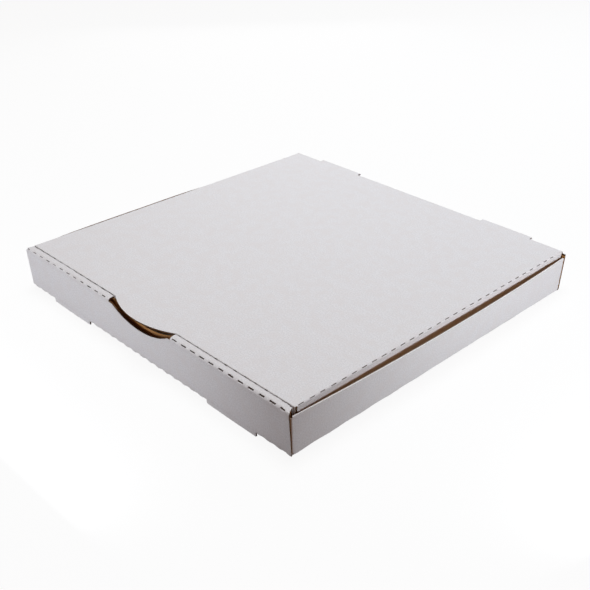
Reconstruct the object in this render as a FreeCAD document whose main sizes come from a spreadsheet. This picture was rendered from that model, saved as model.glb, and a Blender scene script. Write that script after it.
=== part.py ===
"""Pizza box of white-faced E-flute board: one die-cut blank, folded into a tray and a hinged lid.

Frame: millimetres, +Z up, the front (the side with the thumb notch) towards -Y, the hinge along
the top of the back wall at +Y. The origin is the middle of the base panel's underside.
The tray and the lid meet only along the hinge crease, where the lid turns.
"""
import FreeCAD, Part
import math
import os

import Sketcher

os.makedirs("parts", exist_ok=True)

# Driving dimensions in millimetres.
SIZES = {
    "box_width": 381.0,
    "box_depth": 379.0,
    "box_height": 43.2,
    "board": 1.5,
    "press_gap": 0.1,
    "fold_radius": 1.2,
    "strip_rise": 2.5,
    "front_lean": 0.4,
    "roll_slack": 0.7,
    "wall_drop": 5.7,
    "wall_bow": 3.8,
    "rear_spread": 3.0,
    "corner_flap_length": 108.0,
    "corner_flap_drop": 1.5,
    "lid_gap": 0.3,
    "tuck_depth": 33.0,
    "tuck_inset": 0.6,
    "tuck_taper": 10.0,
    "side_flap_depth": 34.0,
    "side_flap_taper": 14.0,
    "flap_clearance": 0.5,
    "relief_slot": 2.0,
    "thumb_width": 93.6,
    "thumb_offset": -1.4,
    "thumb_reach": 11.6,
    "thumb_clearance": 0.3,
    "notch_depth": 13.1,
    "inner_notch_depth": 10.2,
    "tongue_width": 61.6,
    "tongue_centre": 119.0,
    "hinge_tongue_reach": 4.2,
    "hinge_relief": 0.3,
    "kerf": 0.5,
    "foot_tongue_drop": 3.8,
    "lock_tab_drop": 2.6,
    "slot_clearance": 0.4,
    "dash_length": 6.2,
    "dash_pitch": 12.0,
    "dash_width": 0.9,
    "dash_depth": 0.9,
    "dash_margin": 4.0,
}


class Size:
    """A length that holds its value and the expression over the sheet that gives it."""

    def __init__(self, value, text):
        self.value = value
        self.text = text

    def __add__(self, other):
        other = as_size(other)
        return Size(self.value + other.value, f"({self.text} + {other.text})")

    def __sub__(self, other):
        other = as_size(other)
        return Size(self.value - other.value, f"({self.text} - {other.text})")

    def __mul__(self, other):
        other = as_size(other)
        return Size(self.value * other.value, f"({self.text} * {other.text})")

    def __truediv__(self, other):
        other = as_size(other)
        return Size(self.value / other.value, f"({self.text} / {other.text})")

    def __neg__(self):
        return self * -1

    def __abs__(self):
        return Size(abs(self.value), f"abs({self.text})")

    def floor(self):
        """The whole number at or below it, as a Size."""
        return Size(math.floor(self.value), f"floor({self.text})")

    def root(self):
        """The square root, as a Size."""
        return Size(math.sqrt(self.value), f"sqrt({self.text})")


def as_size(value):
    """A plain number as a Size; a Size comes back as it is."""
    return value if isinstance(value, Size) else Size(float(value), f"({float(value)})")


class Corner:
    """One corner of an outline: its place, its rounding, and the bulge of the side after it.

    A positive bulge pushes the middle of that side to the right of the way it runs.
    """

    def __init__(self, across, up, rounding=None, bulge=None):
        self.across = as_size(across)
        self.up = as_size(up)
        self.rounding = rounding
        self.bulge = bulge

    def point(self):
        """The corner's place in the sketch."""
        return FreeCAD.Vector(self.across.value, self.up.value, 0)


def fill_sheet(doc):
    """Write the driving dimensions to a spreadsheet and give each back as a Size."""
    sheet = doc.addObject("Spreadsheet::Sheet", "Sizes")
    for row, (alias, value) in enumerate(SIZES.items(), start=1):
        sheet.set(f"A{row}", alias)
        sheet.set(f"B{row}", str(value))
        sheet.setAlias(f"B{row}", alias)
    doc.recompute()
    return {alias: Size(float(getattr(sheet, alias)), f"Sizes.{alias}") for alias in SIZES}


def origin_item(body, role):
    """One of the body's own origin planes or axes."""
    return next(item for item in body.Origin.OriginFeatures if item.Role == role)


def new_sketch(body, name, role, offset=0):
    """A sketch on one of the body's origin planes, moved along the plane's normal by offset."""
    offset = as_size(offset)
    sketch = body.newObject("Sketcher::SketchObject", name)
    sketch.AttachmentSupport = [(origin_item(body, role), "")]
    sketch.MapMode = "FlatFace"
    sketch.AttachmentOffset = FreeCAD.Placement(FreeCAD.Vector(0, 0, offset.value), FreeCAD.Rotation())
    sketch.setExpression("AttachmentOffset.Base.z", offset.text)
    return sketch


def bind(sketch, kind, where, size):
    """Add a dimension to the sketch and bind it to the size's expression."""
    index = sketch.addConstraint(Sketcher.Constraint(kind, *where, size.value))
    sketch.setExpression(f"Constraints[{index}]", size.text)


def side_ends(corner, before, after):
    """Where the two sides beside a corner stop: at the corner, or short of it by the rounding."""
    here = corner.point()
    if corner.rounding is None:
        return here, here
    back = (before.point() - here).normalize()
    ahead = (after.point() - here).normalize()
    reach = corner.rounding.value / math.tan(back.getAngle(ahead) / 2)
    return here + back * reach, here + ahead * reach


def add_side(sketch, start, end, corner, after):
    """One side of an outline: a straight line, or an arc where the corner has a bulge."""
    if corner.bulge is None:
        return sketch.addGeometry(Part.LineSegment(start, end), False)
    along = end - start
    rightward = FreeCAD.Vector(along.y, -along.x, 0).normalize()
    middle = (start + end) / 2 + rightward * corner.bulge.value
    side = sketch.addGeometry(Part.Arc(start, middle, end), False)
    width = after.across - corner.across
    height = after.up - corner.up
    bulge = abs(corner.bulge)
    bind(sketch, "Radius", (side,), (width * width + height * height) / (bulge * 8) + bulge / 2)
    return side


def end_at(sketch, curve, point):
    """Which end of a curve lies at the point: 1 for its first end, 2 for its second."""
    ends = [sketch.getPoint(curve, number).distanceToPoint(point) for number in (1, 2)]
    return 1 if ends[0] < ends[1] else 2


def outline(sketch, corners):
    """Draw a closed outline and tie every corner to its expressions."""
    count = len(corners)
    ends = [side_ends(corner, corners[i - 1], corners[(i + 1) % count])
            for i, corner in enumerate(corners)]
    sides = [add_side(sketch, ends[i][1], ends[(i + 1) % count][0], corner, corners[(i + 1) % count])
             for i, corner in enumerate(corners)]
    for i, corner in enumerate(corners):
        join_sides(sketch, sides[i - 1], sides[i], corner, *ends[i])


def join_sides(sketch, before, after, corner, stop, start):
    """Join two sides at their corner, directly or with a tangent arc, and place the corner."""
    before_end = (before, end_at(sketch, before, stop))
    after_end = (after, end_at(sketch, after, start))
    if corner.rounding is None:
        sketch.addConstraint(Sketcher.Constraint("Coincident", *before_end, *after_end))
        place_point(sketch, after_end, corner)
        return
    here = corner.point()
    middle = (stop + start) / 2
    half_chord = (start - stop).Length / 2
    radius = corner.rounding.value
    sagitta = radius - math.sqrt(radius * radius - half_chord * half_chord)
    crown = middle + (here - middle).normalize() * sagitta
    fold = sketch.addGeometry(Part.Arc(stop, crown, start), False)
    anchor = sketch.addGeometry(Part.Point(here), True)
    for side_end, meeting in ((before_end, stop), (after_end, start)):
        fold_end = (fold, end_at(sketch, fold, meeting))
        sketch.addConstraint(Sketcher.Constraint("Tangent", *side_end, *fold_end))
        sketch.addConstraint(Sketcher.Constraint("PointOnObject", anchor, 1, side_end[0]))
    bind(sketch, "Radius", (fold,), corner.rounding)
    place_point(sketch, (anchor, 1), corner)


def place_point(sketch, point, corner):
    """Place one point of the sketch at the corner."""
    bind(sketch, "DistanceX", (-1, 1, *point), corner.across)
    bind(sketch, "DistanceY", (-1, 1, *point), corner.up)


def pad(body, name, sketch, length, centred=False):
    """Grow the sketch along its plane's normal, or to both sides of it."""
    feature = body.newObject("PartDesign::Pad", name)
    feature.Profile = sketch
    feature.SideType = "Symmetric" if centred else "One side"
    feature.Length = length.value
    feature.setExpression("Length", length.text)
    return feature


def pocket(body, name, sketch, depth):
    """Cut the sketch out of the body, against its plane's normal."""
    feature = body.newObject("PartDesign::Pocket", name)
    feature.Profile = sketch
    feature.Length = depth.value
    feature.setExpression("Length", depth.text)
    return feature


def mirror(body, name, features):
    """Repeat features on the other side of the middle plane, x = 0."""
    feature = body.newObject("PartDesign::Mirrored", name)
    feature.Originals = features
    feature.MirrorPlane = (origin_item(body, "YZ_Plane"), [""])
    body.Tip = feature


def cut_dashes(body, folds, name, role, offset, run, level, depth):
    """Cut a row of short slits along a crease, at the crease rule's pitch.

    The slits are drawn on an upright plane moved out by offset, from the run's start to no
    further than its end, round the level, and cut against the plane's normal to the depth.
    """
    dash = folds.size["dash_length"]
    pitch = folds.size["dash_pitch"]
    width = folds.size["dash_width"]
    start, stop = run
    sketch = new_sketch(body, f"{name}_slit", role, offset)
    outline(sketch, box_corners(start, start + dash, level - width / 2, level + width))
    first = pocket(body, f"{name}_first_cut", sketch, depth)
    row = body.newObject("PartDesign::LinearPattern", name)
    row.Originals = [first]
    row.Direction = (origin_item(body, "X_Axis" if role == "XZ_Plane" else "Y_Axis"), [""])
    row.Mode = "Spacing"
    row.setExpression("Offset", pitch.text)
    row.setExpression("Occurrences", (((stop - start - dash) / pitch).floor() + 1).text)
    body.Tip = row


def box_corners(left, right, bottom, top):
    """The four corners of an upright rectangle."""
    return [Corner(left, bottom), Corner(right, bottom), Corner(right, top), Corner(left, top)]


class Folds:
    """Places that the tray and the lid share, worked out from the driving dimensions."""

    def __init__(self, size):
        self.size = size
        self.half_width = size["box_width"] / 2
        self.front = -(size["box_depth"] / 2)
        self.back = size["box_depth"] / 2
        self.top = size["box_height"]
        self.front_crease = self.top - size["strip_rise"]
        self.wall_top = self.top - size["wall_drop"]
        self.strip = size["board"] * 3 + size["press_gap"] * 2 + size["roll_slack"]
        self.lid_half = self.half_width - size["board"]
        self.fold_y = self.front_face(self.top) + self.strip + size["lid_gap"]
        self.rear_inner = self.back - size["board"] - size["press_gap"]
        self.inner_foot = size["board"] + size["press_gap"]
        self.flap_start = self.fold_y + size["board"] + size["relief_slot"]
        self.flap_stop = self.rear_inner - size["board"] - size["flap_clearance"]

    def front_face(self, height):
        """How far along Y the leaning front panel's outer face is at a height."""
        share = as_size(height) / self.front_crease
        return self.front + self.size["front_lean"] * (as_size(1) - share)

    def tongue_starts(self, width):
        """Where the two cut tongues along a crease begin, from left to right."""
        centre = self.size["tongue_centre"]
        return [-centre - width / 2, centre - width / 2]


def strip_underside(folds, across):
    """Height of the slanting strip's underside, at a distance inwards from the front crease."""
    size = folds.size
    slope = size["strip_rise"] / folds.strip
    thickness = size["board"] * (slope * slope + 1).root()
    return folds.front_crease + slope * across - thickness


def tray_section(folds):
    """The folded run of board from the back wall, under the base, to the rolled-over front."""
    size = folds.size
    board = size["board"]
    fold = size["fold_radius"]
    inner_face = board * 2 + size["press_gap"] * 2
    outer_top = strip_underside(folds, board)
    inner_top = strip_underside(folds, inner_face)
    return [
        Corner(folds.back, folds.top),
        Corner(folds.back - board, folds.top - board),
        Corner(folds.back - board, board),
        Corner(folds.front_face(board) + board, board),
        Corner(folds.front_face(outer_top) + board, outer_top),
        Corner(folds.front_face(inner_top) + inner_face, inner_top),
        Corner(folds.front_face(folds.inner_foot) + inner_face, folds.inner_foot),
        Corner(folds.front_face(folds.inner_foot) + folds.strip, folds.inner_foot),
        Corner(folds.front_face(folds.top) + folds.strip, folds.top, rounding=fold),
        Corner(folds.front, folds.front_crease, rounding=fold),
        Corner(folds.front_face(0), 0, rounding=fold),
        Corner(folds.back, 0, rounding=fold),
    ]


def trim_inner_panel(body, folds):
    """Shorten the inner front panel at one end, so that it stands between the side walls."""
    size = folds.size
    board = size["board"]
    top = strip_underside(folds, board)
    sketch = new_sketch(body, "inner_panel_end", "YZ_Plane", folds.half_width)
    outline(sketch, [
        Corner(folds.front_face(board) + board, board),
        Corner(folds.front_face(board) + folds.strip + board, board),
        Corner(folds.front_face(top) + folds.strip + board, top),
        Corner(folds.front_face(top) + board, top),
    ])
    return pocket(body, "inner_panel_trim", sketch, board + size["press_gap"])


def add_side_wall(body, folds):
    """The right side wall: straight along the base, bowed outwards along its free top edge."""
    size = folds.size
    board = size["board"]
    front_low = folds.front_face(0) + folds.inner_foot
    front_high = folds.front_face(folds.wall_top) + folds.inner_foot
    inside = folds.half_width - board
    spread = size["rear_spread"]
    foot = new_sketch(body, "side_wall_foot", "XY_Plane")
    outline(foot, box_corners(inside, folds.half_width, front_low, folds.rear_inner))
    crown = new_sketch(body, "side_wall_crown", "XY_Plane", folds.wall_top)
    outline(crown, [
        Corner(inside, front_high),
        Corner(folds.half_width, front_high, bulge=size["wall_bow"]),
        Corner(folds.half_width + spread, folds.rear_inner),
        Corner(inside + spread, folds.rear_inner, bulge=-size["wall_bow"]),
    ])
    wall = body.newObject("PartDesign::AdditiveLoft", "side_wall")
    wall.Profile = foot
    wall.Sections = [(crown, [""])]
    wall.Ruled = True
    return wall


def add_front_corner_flap(body, folds):
    """The flap from the side wall's front end, held between the two front panels."""
    size = folds.size
    low = folds.inner_foot
    high = folds.wall_top - size["corner_flap_drop"]
    length = size["corner_flap_length"]
    sketch = new_sketch(body, "front_corner_flap_section", "YZ_Plane", folds.half_width - length)
    outline(sketch, [
        Corner(folds.front_face(low) + folds.inner_foot, low),
        Corner(folds.front_face(low) + folds.inner_foot + size["board"], low),
        Corner(folds.front_face(high) + folds.inner_foot + size["board"], high),
        Corner(folds.front_face(high) + folds.inner_foot, high),
    ])
    return pad(body, "front_corner_flap", sketch, length - size["board"] / 2)


def add_rear_corner_flap(body, folds):
    """The flap from the side wall's rear end, tucked in front of the back wall."""
    size = folds.size
    low = folds.inner_foot
    high = folds.wall_top - size["corner_flap_drop"]
    wall_middle = folds.half_width - size["board"] / 2
    low_edge = wall_middle + size["rear_spread"] * low / folds.wall_top
    high_edge = wall_middle + size["rear_spread"] * high / folds.wall_top
    sketch = new_sketch(body, "rear_corner_flap_outline", "XZ_Plane", -folds.rear_inner)
    outline(sketch, [
        Corner(low_edge - size["corner_flap_length"], low),
        Corner(low_edge, low),
        Corner(high_edge, high),
        Corner(high_edge - size["corner_flap_length"], high),
    ])
    return pad(body, "rear_corner_flap", sketch, size["board"])


def notch_outline(folds, depth):
    """The thumb notch: a shallow arc below the front crease, open at the top."""
    size = folds.size
    half = size["thumb_width"] / 2 + size["thumb_clearance"]
    middle = size["thumb_offset"]
    crease = folds.front_crease
    above = folds.top + size["board"]
    return [
        Corner(middle - half, crease, bulge=depth),
        Corner(middle + half, crease),
        Corner(middle + half, above),
        Corner(middle - half, above),
    ]


def cut_thumb_notch(body, folds):
    """Cut the notch through the outer panel, and a shallower one through the inner panel."""
    size = folds.size
    board = size["board"]
    between = folds.front + board * 2
    outer = new_sketch(body, "outer_notch_outline", "XZ_Plane", -(folds.front - board))
    outline(outer, notch_outline(folds, size["notch_depth"]))
    pocket(body, "outer_notch", outer, between - (folds.front - board))
    inner = new_sketch(body, "inner_notch_outline", "XZ_Plane", -between)
    outline(inner, notch_outline(folds, size["inner_notch_depth"]))
    pocket(body, "inner_notch", inner, folds.strip)


def cut_base_slots(body, folds):
    """Slots in the base along the front crease, where the inner panel's lock tabs go through."""
    size = folds.size
    near = folds.front_face(0) + size["board"]
    far = folds.front_face(0) + folds.strip + size["slot_clearance"]
    for number, start in enumerate(folds.tongue_starts(size["tongue_width"]), start=1):
        sketch = new_sketch(body, f"base_slot_outline_{number}", "XY_Plane", size["board"])
        outline(sketch, box_corners(start, start + size["tongue_width"], near, far))
        pocket(body, f"base_slot_{number}", sketch, size["board"])


def add_slanted_tab(body, folds, name, start, width, inwards, low, high):
    """A tab in line with one of the leaning front panels, from one height to another."""
    board = folds.size["board"]
    sketch = new_sketch(body, f"{name}_section", "YZ_Plane", start)
    outline(sketch, [
        Corner(folds.front_face(low) + inwards, low),
        Corner(folds.front_face(low) + inwards + board, low),
        Corner(folds.front_face(high) + inwards + board, high),
        Corner(folds.front_face(high) + inwards, high),
    ])
    pad(body, name, sketch, width)


def add_front_tabs(body, folds):
    """Two tongues of the front panel that stand below the base, and the lock tabs behind them."""
    size = folds.size
    width = size["tongue_width"]
    for number, start in enumerate(folds.tongue_starts(width), start=1):
        add_slanted_tab(body, folds, f"foot_tongue_{number}", start, width, as_size(0),
                        -size["foot_tongue_drop"], size["fold_radius"] * 2)
    tab_width = width - size["slot_clearance"] * 2
    for number, start in enumerate(folds.tongue_starts(tab_width), start=1):
        add_slanted_tab(body, folds, f"lock_tab_{number}", start, tab_width, folds.strip - size["board"],
                        -size["lock_tab_drop"], folds.inner_foot + size["board"])


def cut_hinge_notches(body, folds):
    """Notches in the back wall's top edge, where the lid's hinge tongues swing through."""
    size = folds.size
    board = size["board"]
    reach = size["hinge_tongue_reach"]
    swing = (reach * reach + board * board).root() + size["kerf"]
    width = size["tongue_width"] + size["kerf"] * 2
    for number, start in enumerate(folds.tongue_starts(width), start=1):
        sketch = new_sketch(body, f"hinge_notch_outline_{number}", "XZ_Plane", -(folds.back - board * 2))
        outline(sketch, box_corners(start, start + width, folds.top - swing, folds.top + board))
        pocket(body, f"hinge_notch_{number}", sketch, board * 3)


def cut_front_crease(body, folds):
    """The cut dashes along the front panel's top crease, on both sides of the thumb notch."""
    size = folds.size
    margin = size["dash_margin"]
    half_notch = size["thumb_width"] / 2 + size["thumb_clearance"] + margin
    runs = {
        "front_dashes_left": (-folds.half_width + margin, size["thumb_offset"] - half_notch),
        "front_dashes_right": (size["thumb_offset"] + half_notch, folds.half_width - margin),
    }
    out = folds.front - margin
    for name, run in runs.items():
        cut_dashes(body, folds, name, "XZ_Plane", -out, run, folds.front_crease,
                   margin + size["dash_depth"])


def cut_lid_creases(body, folds):
    """The cut dashes along the lid's two side creases."""
    size = folds.size
    margin = size["dash_margin"]
    depth = size["dash_depth"]
    run = (folds.flap_start + margin, folds.flap_stop - margin)
    level = folds.top - size["dash_width"] / 2
    offsets = {"side_dashes_right": folds.lid_half + margin, "side_dashes_left": -folds.lid_half + depth}
    for name, offset in offsets.items():
        cut_dashes(body, folds, name, "YZ_Plane", offset, run, level, margin + depth)


def build_tray(doc, folds):
    """The tray: base, back wall, rolled-over front, side walls and their corner flaps."""
    body = doc.addObject("PartDesign::Body", "tray")
    section = new_sketch(body, "tray_section", "YZ_Plane")
    outline(section, tray_section(folds))
    pad(body, "base_front_and_back", section, folds.size["box_width"], centred=True)
    side = [
        trim_inner_panel(body, folds),
        add_side_wall(body, folds),
        add_front_corner_flap(body, folds),
        add_rear_corner_flap(body, folds),
    ]
    mirror(body, "left_side", side)
    cut_thumb_notch(body, folds)
    cut_base_slots(body, folds)
    add_front_tabs(body, folds)
    cut_hinge_notches(body, folds)
    cut_front_crease(body, folds)
    return body


def tuck_lean(folds):
    """How far the tuck flap leans in, to stay clear of the front panel while the lid swings."""
    size = folds.size
    depth = size["tuck_depth"]
    parallel = size["front_lean"] * depth / folds.front_crease
    return parallel + depth * depth / (size["box_depth"] * 2)


def lid_section(folds):
    """The lid panel, mitred at the hinge crease, and the tuck flap down from its front fold."""
    size = folds.size
    board = size["board"]
    under = folds.top - board
    low = folds.top - size["tuck_depth"]
    lean = tuck_lean(folds)
    return [
        Corner(folds.back, folds.top),
        Corner(folds.fold_y, folds.top, rounding=size["fold_radius"]),
        Corner(folds.fold_y + lean, low),
        Corner(folds.fold_y + lean + board, low),
        Corner(folds.fold_y + board, under),
        Corner(folds.back - board - size["hinge_relief"], under),
    ]


def side_flap_section(folds):
    """The lid's middle part across the box: the panel with a side flap down each edge."""
    size = folds.size
    board = size["board"]
    low = folds.top - size["side_flap_depth"]
    under = folds.top - board
    lean = size["flap_clearance"] * size["side_flap_depth"] / size["wall_drop"]
    crease = folds.lid_half
    fold = size["fold_radius"]
    return [
        Corner(-crease, folds.top, rounding=fold),
        Corner(-crease + lean, low),
        Corner(-crease + lean + board, low),
        Corner(-crease + board, under),
        Corner(crease - board, under),
        Corner(crease - lean - board, low),
        Corner(crease - lean, low),
        Corner(crease, folds.top, rounding=fold),
    ]


def add_side_flaps(body, folds):
    """Fold a flap down along each side of the lid panel, behind the corner relief slot."""
    size = folds.size
    board = size["board"]
    start = folds.flap_start
    sketch = new_sketch(body, "side_flap_section", "XZ_Plane", -folds.flap_stop)
    outline(sketch, side_flap_section(folds))
    pad(body, "side_flaps", sketch, folds.flap_stop - start)
    taper = new_sketch(body, "side_flap_taper_outline", "YZ_Plane", folds.lid_half + board)
    below = folds.top - size["side_flap_depth"] - board
    outline(taper, [
        Corner(start, folds.wall_top),
        Corner(start - board, below),
        Corner(start + size["side_flap_taper"], below),
    ])
    return pocket(body, "side_flap_taper", taper, size["side_flap_depth"])


def taper_tuck_flap(body, folds):
    """Cut the tuck flap's end back at a slant, so that it slips in between the side walls."""
    size = folds.size
    end = folds.lid_half
    below = folds.top - size["tuck_depth"] - size["board"]
    front = folds.fold_y - size["board"]
    sketch = new_sketch(body, "tuck_taper_outline", "XZ_Plane", -front)
    outline(sketch, [
        Corner(end - size["tuck_taper"], below),
        Corner(end, below),
        Corner(end, folds.wall_top),
        Corner(end - size["tuck_inset"], folds.wall_top),
    ])
    return pocket(body, "tuck_taper", sketch, tuck_lean(folds) + size["board"] * 3)


def add_thumb_tongue(body, folds):
    """The rounded tongue that stays level with the lid, and the gap it leaves in the tuck flap."""
    size = folds.size
    board = size["board"]
    half = size["thumb_width"] / 2
    middle = size["thumb_offset"]
    root = folds.fold_y + board * 2
    gap = new_sketch(body, "tuck_gap_outline", "XZ_Plane", -(folds.fold_y - board))
    outline(gap, [
        Corner(middle - half, folds.top - board, bulge=size["thumb_reach"] - board),
        Corner(middle + half, folds.top - board),
    ])
    pocket(body, "tuck_gap", gap, tuck_lean(folds) + board * 3)
    tongue = new_sketch(body, "thumb_tongue_outline", "XY_Plane", folds.top - board)
    outline(tongue, [
        Corner(middle - half, folds.fold_y, bulge=size["thumb_reach"]),
        Corner(middle + half, folds.fold_y),
        Corner(middle + half, root),
        Corner(middle - half, root),
    ])
    pad(body, "thumb_tongue", tongue, board)


def add_hinge_tongues(body, folds):
    """Two tongues level with the lid that stand out past the hinge crease."""
    size = folds.size
    board = size["board"]
    for number, start in enumerate(folds.tongue_starts(size["tongue_width"]), start=1):
        sketch = new_sketch(body, f"hinge_tongue_outline_{number}", "XY_Plane", folds.top - board)
        outline(sketch, box_corners(start, start + size["tongue_width"], folds.back - board * 3,
                                    folds.back + size["hinge_tongue_reach"]))
        pad(body, f"hinge_tongue_{number}", sketch, board)


def build_lid(doc, folds):
    """The lid: top panel, tuck flap, side flaps, thumb tongue and hinge tongues."""
    size = folds.size
    body = doc.addObject("PartDesign::Body", "lid")
    section = new_sketch(body, "lid_section", "YZ_Plane")
    outline(section, lid_section(folds))
    pad(body, "panel_and_tuck", section, (folds.lid_half - size["tuck_inset"]) * 2, centred=True)
    taper = taper_tuck_flap(body, folds)
    mirror(body, "left_tuck_taper", [taper])
    flap_taper = add_side_flaps(body, folds)
    mirror(body, "left_side_flap_taper", [flap_taper])
    add_thumb_tongue(body, folds)
    add_hinge_tongues(body, folds)
    cut_lid_creases(body, folds)
    return body


def check(doc, bodies):
    """Stop if any object of the document failed or a body is not one valid solid."""
    for item in doc.Objects:
        if "Invalid" in item.State or "Error" in item.State:
            raise RuntimeError(f"{item.Label} failed: {item.State}")
    for body in bodies:
        if body.Shape.isNull() or not body.Shape.isValid() or len(body.Shape.Solids) != 1:
            raise RuntimeError(f"{body.Label} is not one valid solid")


def main():
    """Build the tray and the lid and write one file for each."""
    doc = FreeCAD.newDocument("pizza_box")
    folds = Folds(fill_sheet(doc))
    bodies = [build_tray(doc, folds), build_lid(doc, folds)]
    doc.recompute()
    check(doc, bodies)
    for body in bodies:
        box = body.Shape.BoundBox
        print(body.Label, round(body.Shape.Volume, 1), box)
        body.Shape.exportStep(os.path.join("parts", f"{body.Label}.step"))


main()
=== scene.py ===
"""Looks of a pizza box: one die-cut blank of white-faced E-flute board, folded into a tray and a lid.

Lengths in the classes are millimetres in the CAD frame: the origin is the middle of the base's
underside, the front is towards -Y and the hinge is along the top of the back wall at +Y.
Every piece of board is two matching grids of points, its white outer face and its kraft inner
face, closed by raw cut edges. Its UV map "sheet" holds the place on the flat blank in metres.
"""

import logging
import math
from dataclasses import dataclass, field
from enum import Enum
from typing import Any, Sequence

import bmesh
import bpy
import numpy as np
from mathutils import Matrix, Vector


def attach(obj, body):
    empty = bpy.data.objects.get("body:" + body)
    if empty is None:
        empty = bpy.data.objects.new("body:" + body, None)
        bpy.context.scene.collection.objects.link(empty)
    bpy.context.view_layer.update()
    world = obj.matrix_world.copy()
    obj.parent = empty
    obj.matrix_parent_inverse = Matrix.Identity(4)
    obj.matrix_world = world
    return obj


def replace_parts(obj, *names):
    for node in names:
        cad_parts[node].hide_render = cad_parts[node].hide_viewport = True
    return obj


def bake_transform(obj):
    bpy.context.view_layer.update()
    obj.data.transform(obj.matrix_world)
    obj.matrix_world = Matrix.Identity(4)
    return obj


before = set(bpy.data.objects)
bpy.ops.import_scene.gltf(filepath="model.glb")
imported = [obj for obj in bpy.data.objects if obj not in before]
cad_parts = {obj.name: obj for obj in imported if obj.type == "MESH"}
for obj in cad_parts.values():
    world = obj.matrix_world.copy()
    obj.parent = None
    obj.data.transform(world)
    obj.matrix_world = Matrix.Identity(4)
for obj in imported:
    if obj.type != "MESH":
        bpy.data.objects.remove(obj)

LOG = logging.getLogger("pizza_box")
MM = 0.001
HAIR = 0.02
Mask = Any
Corners = Sequence[Sequence[float]]
Pair = tuple[float, float]
Triple = tuple[float, float, float]
Table = tuple[Pair, ...]


class Surface(Enum):
    """Which of the board's three surfaces a face shows; the value is its material's place."""

    WHITE = 0
    KRAFT = 1
    RAW = 2


def linear(code: str) -> tuple[float, float, float, float]:
    """A colour written as sRGB hex, as the linear colour that a shader socket takes.

    Args:
        code: Six hex digits.

    Returns:
        Red, green, blue and alpha.
    """
    shares = [int(code[place:place + 2], 16) / 255 for place in (0, 2, 4)]
    red, green, blue = [s / 12.92 if s <= 0.04045 else ((s + 0.055) / 1.055) ** 2.4 for s in shares]
    return red, green, blue, 1.0


class NodeSheet:
    """The node tree of a new material or world, and the one function that adds nodes to it."""

    def __init__(self, owner: Any) -> None:
        """Start the owner's tree empty."""
        self.owner = owner
        owner.use_nodes = True
        self.tree = owner.node_tree
        self.tree.nodes.clear()

    def add(self, kind: str, inputs: dict[Any, Any] | None = None, **settings: Any) -> Any:
        """Add one node.

        Args:
            kind: The node's type, without its ShaderNode prefix.
            inputs: Socket name or number to a value, or to an output that is linked to it.
            settings: The node's own properties.

        Returns:
            The node.
        """
        node = self.tree.nodes.new(f"ShaderNode{kind}")
        for name, value in settings.items():
            setattr(node, name, value)
        for name, value in (inputs or {}).items():
            if isinstance(value, bpy.types.NodeSocket):
                self.tree.links.new(value, node.inputs[name])
            else:
                node.inputs[name].default_value = value
        return node

    def value(self, operation: str, *inputs: Any) -> Any:
        """The output of one Math node over numbers and outputs."""
        return self.add("Math", dict(enumerate(inputs)), operation=operation).outputs[0]

    def ease(self, value: Any, low: float, high: float, top: float = 1.0) -> Any:
        """A smooth step from 0 at low to top at high."""
        inputs = {"Value": value, "From Min": low, "From Max": high, "To Min": 0.0, "To Max": top}
        return self.add("MapRange", inputs, interpolation_type="SMOOTHSTEP").outputs[0]

    def mix(self, share: Any, first: Any, second: Any) -> Any:
        """The output of one colour Mix node, from first at share 0 to second at share 1."""
        return self.add("Mix", {0: share, 6: first, 7: second}, data_type="RGBA").outputs[2]

    def noise(self, place: Any, scale: float, detail: float, roughness: float) -> Any:
        """The value of a Noise texture with so many grains to the metre."""
        inputs = {"Vector": place, "Scale": scale, "Detail": detail, "Roughness": roughness}
        return self.add("TexNoise", inputs).outputs[0]

    def flat_place(self) -> Any:
        """The place on the flat blank, in metres."""
        return self.add("UVMap", uv_map="sheet").outputs[0]

    def wave(self, across: Any, pitch: float) -> Any:
        """A sine over a distance in metres, for a pitch in millimetres."""
        return self.value("SINE", self.value("MULTIPLY", across, 2 * math.pi / (pitch * MM)))

    def shown(self) -> Any:
        """1 for what the camera sees, directly, mirrored or through glass, and 0 for other light."""
        path = self.add("LightPath").outputs
        seen = self.value("MAXIMUM", path["Is Camera Ray"], path["Is Glossy Ray"])
        return self.value("MAXIMUM", seen, path["Is Transmission Ray"])

    def finish(self, shader: Any, kind: str = "Material") -> Any:
        """Link the shader to the output of that kind and give the owner back."""
        self.add(f"Output{kind}", {"Surface": shader})
        return self.owner

    def finish_board(self, colour: Any, roughness: Any, specular: float, **bump: Any) -> Any:
        """Finish with a matt surface, raised by the bump node's inputs."""
        normal = self.add("Bump", bump).outputs[0]
        inputs = {"Base Color": colour, "Roughness": roughness, "Normal": normal,
                  "Specular IOR Level": specular}
        return self.finish(self.add("BsdfPrincipled", inputs).outputs[0])


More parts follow.
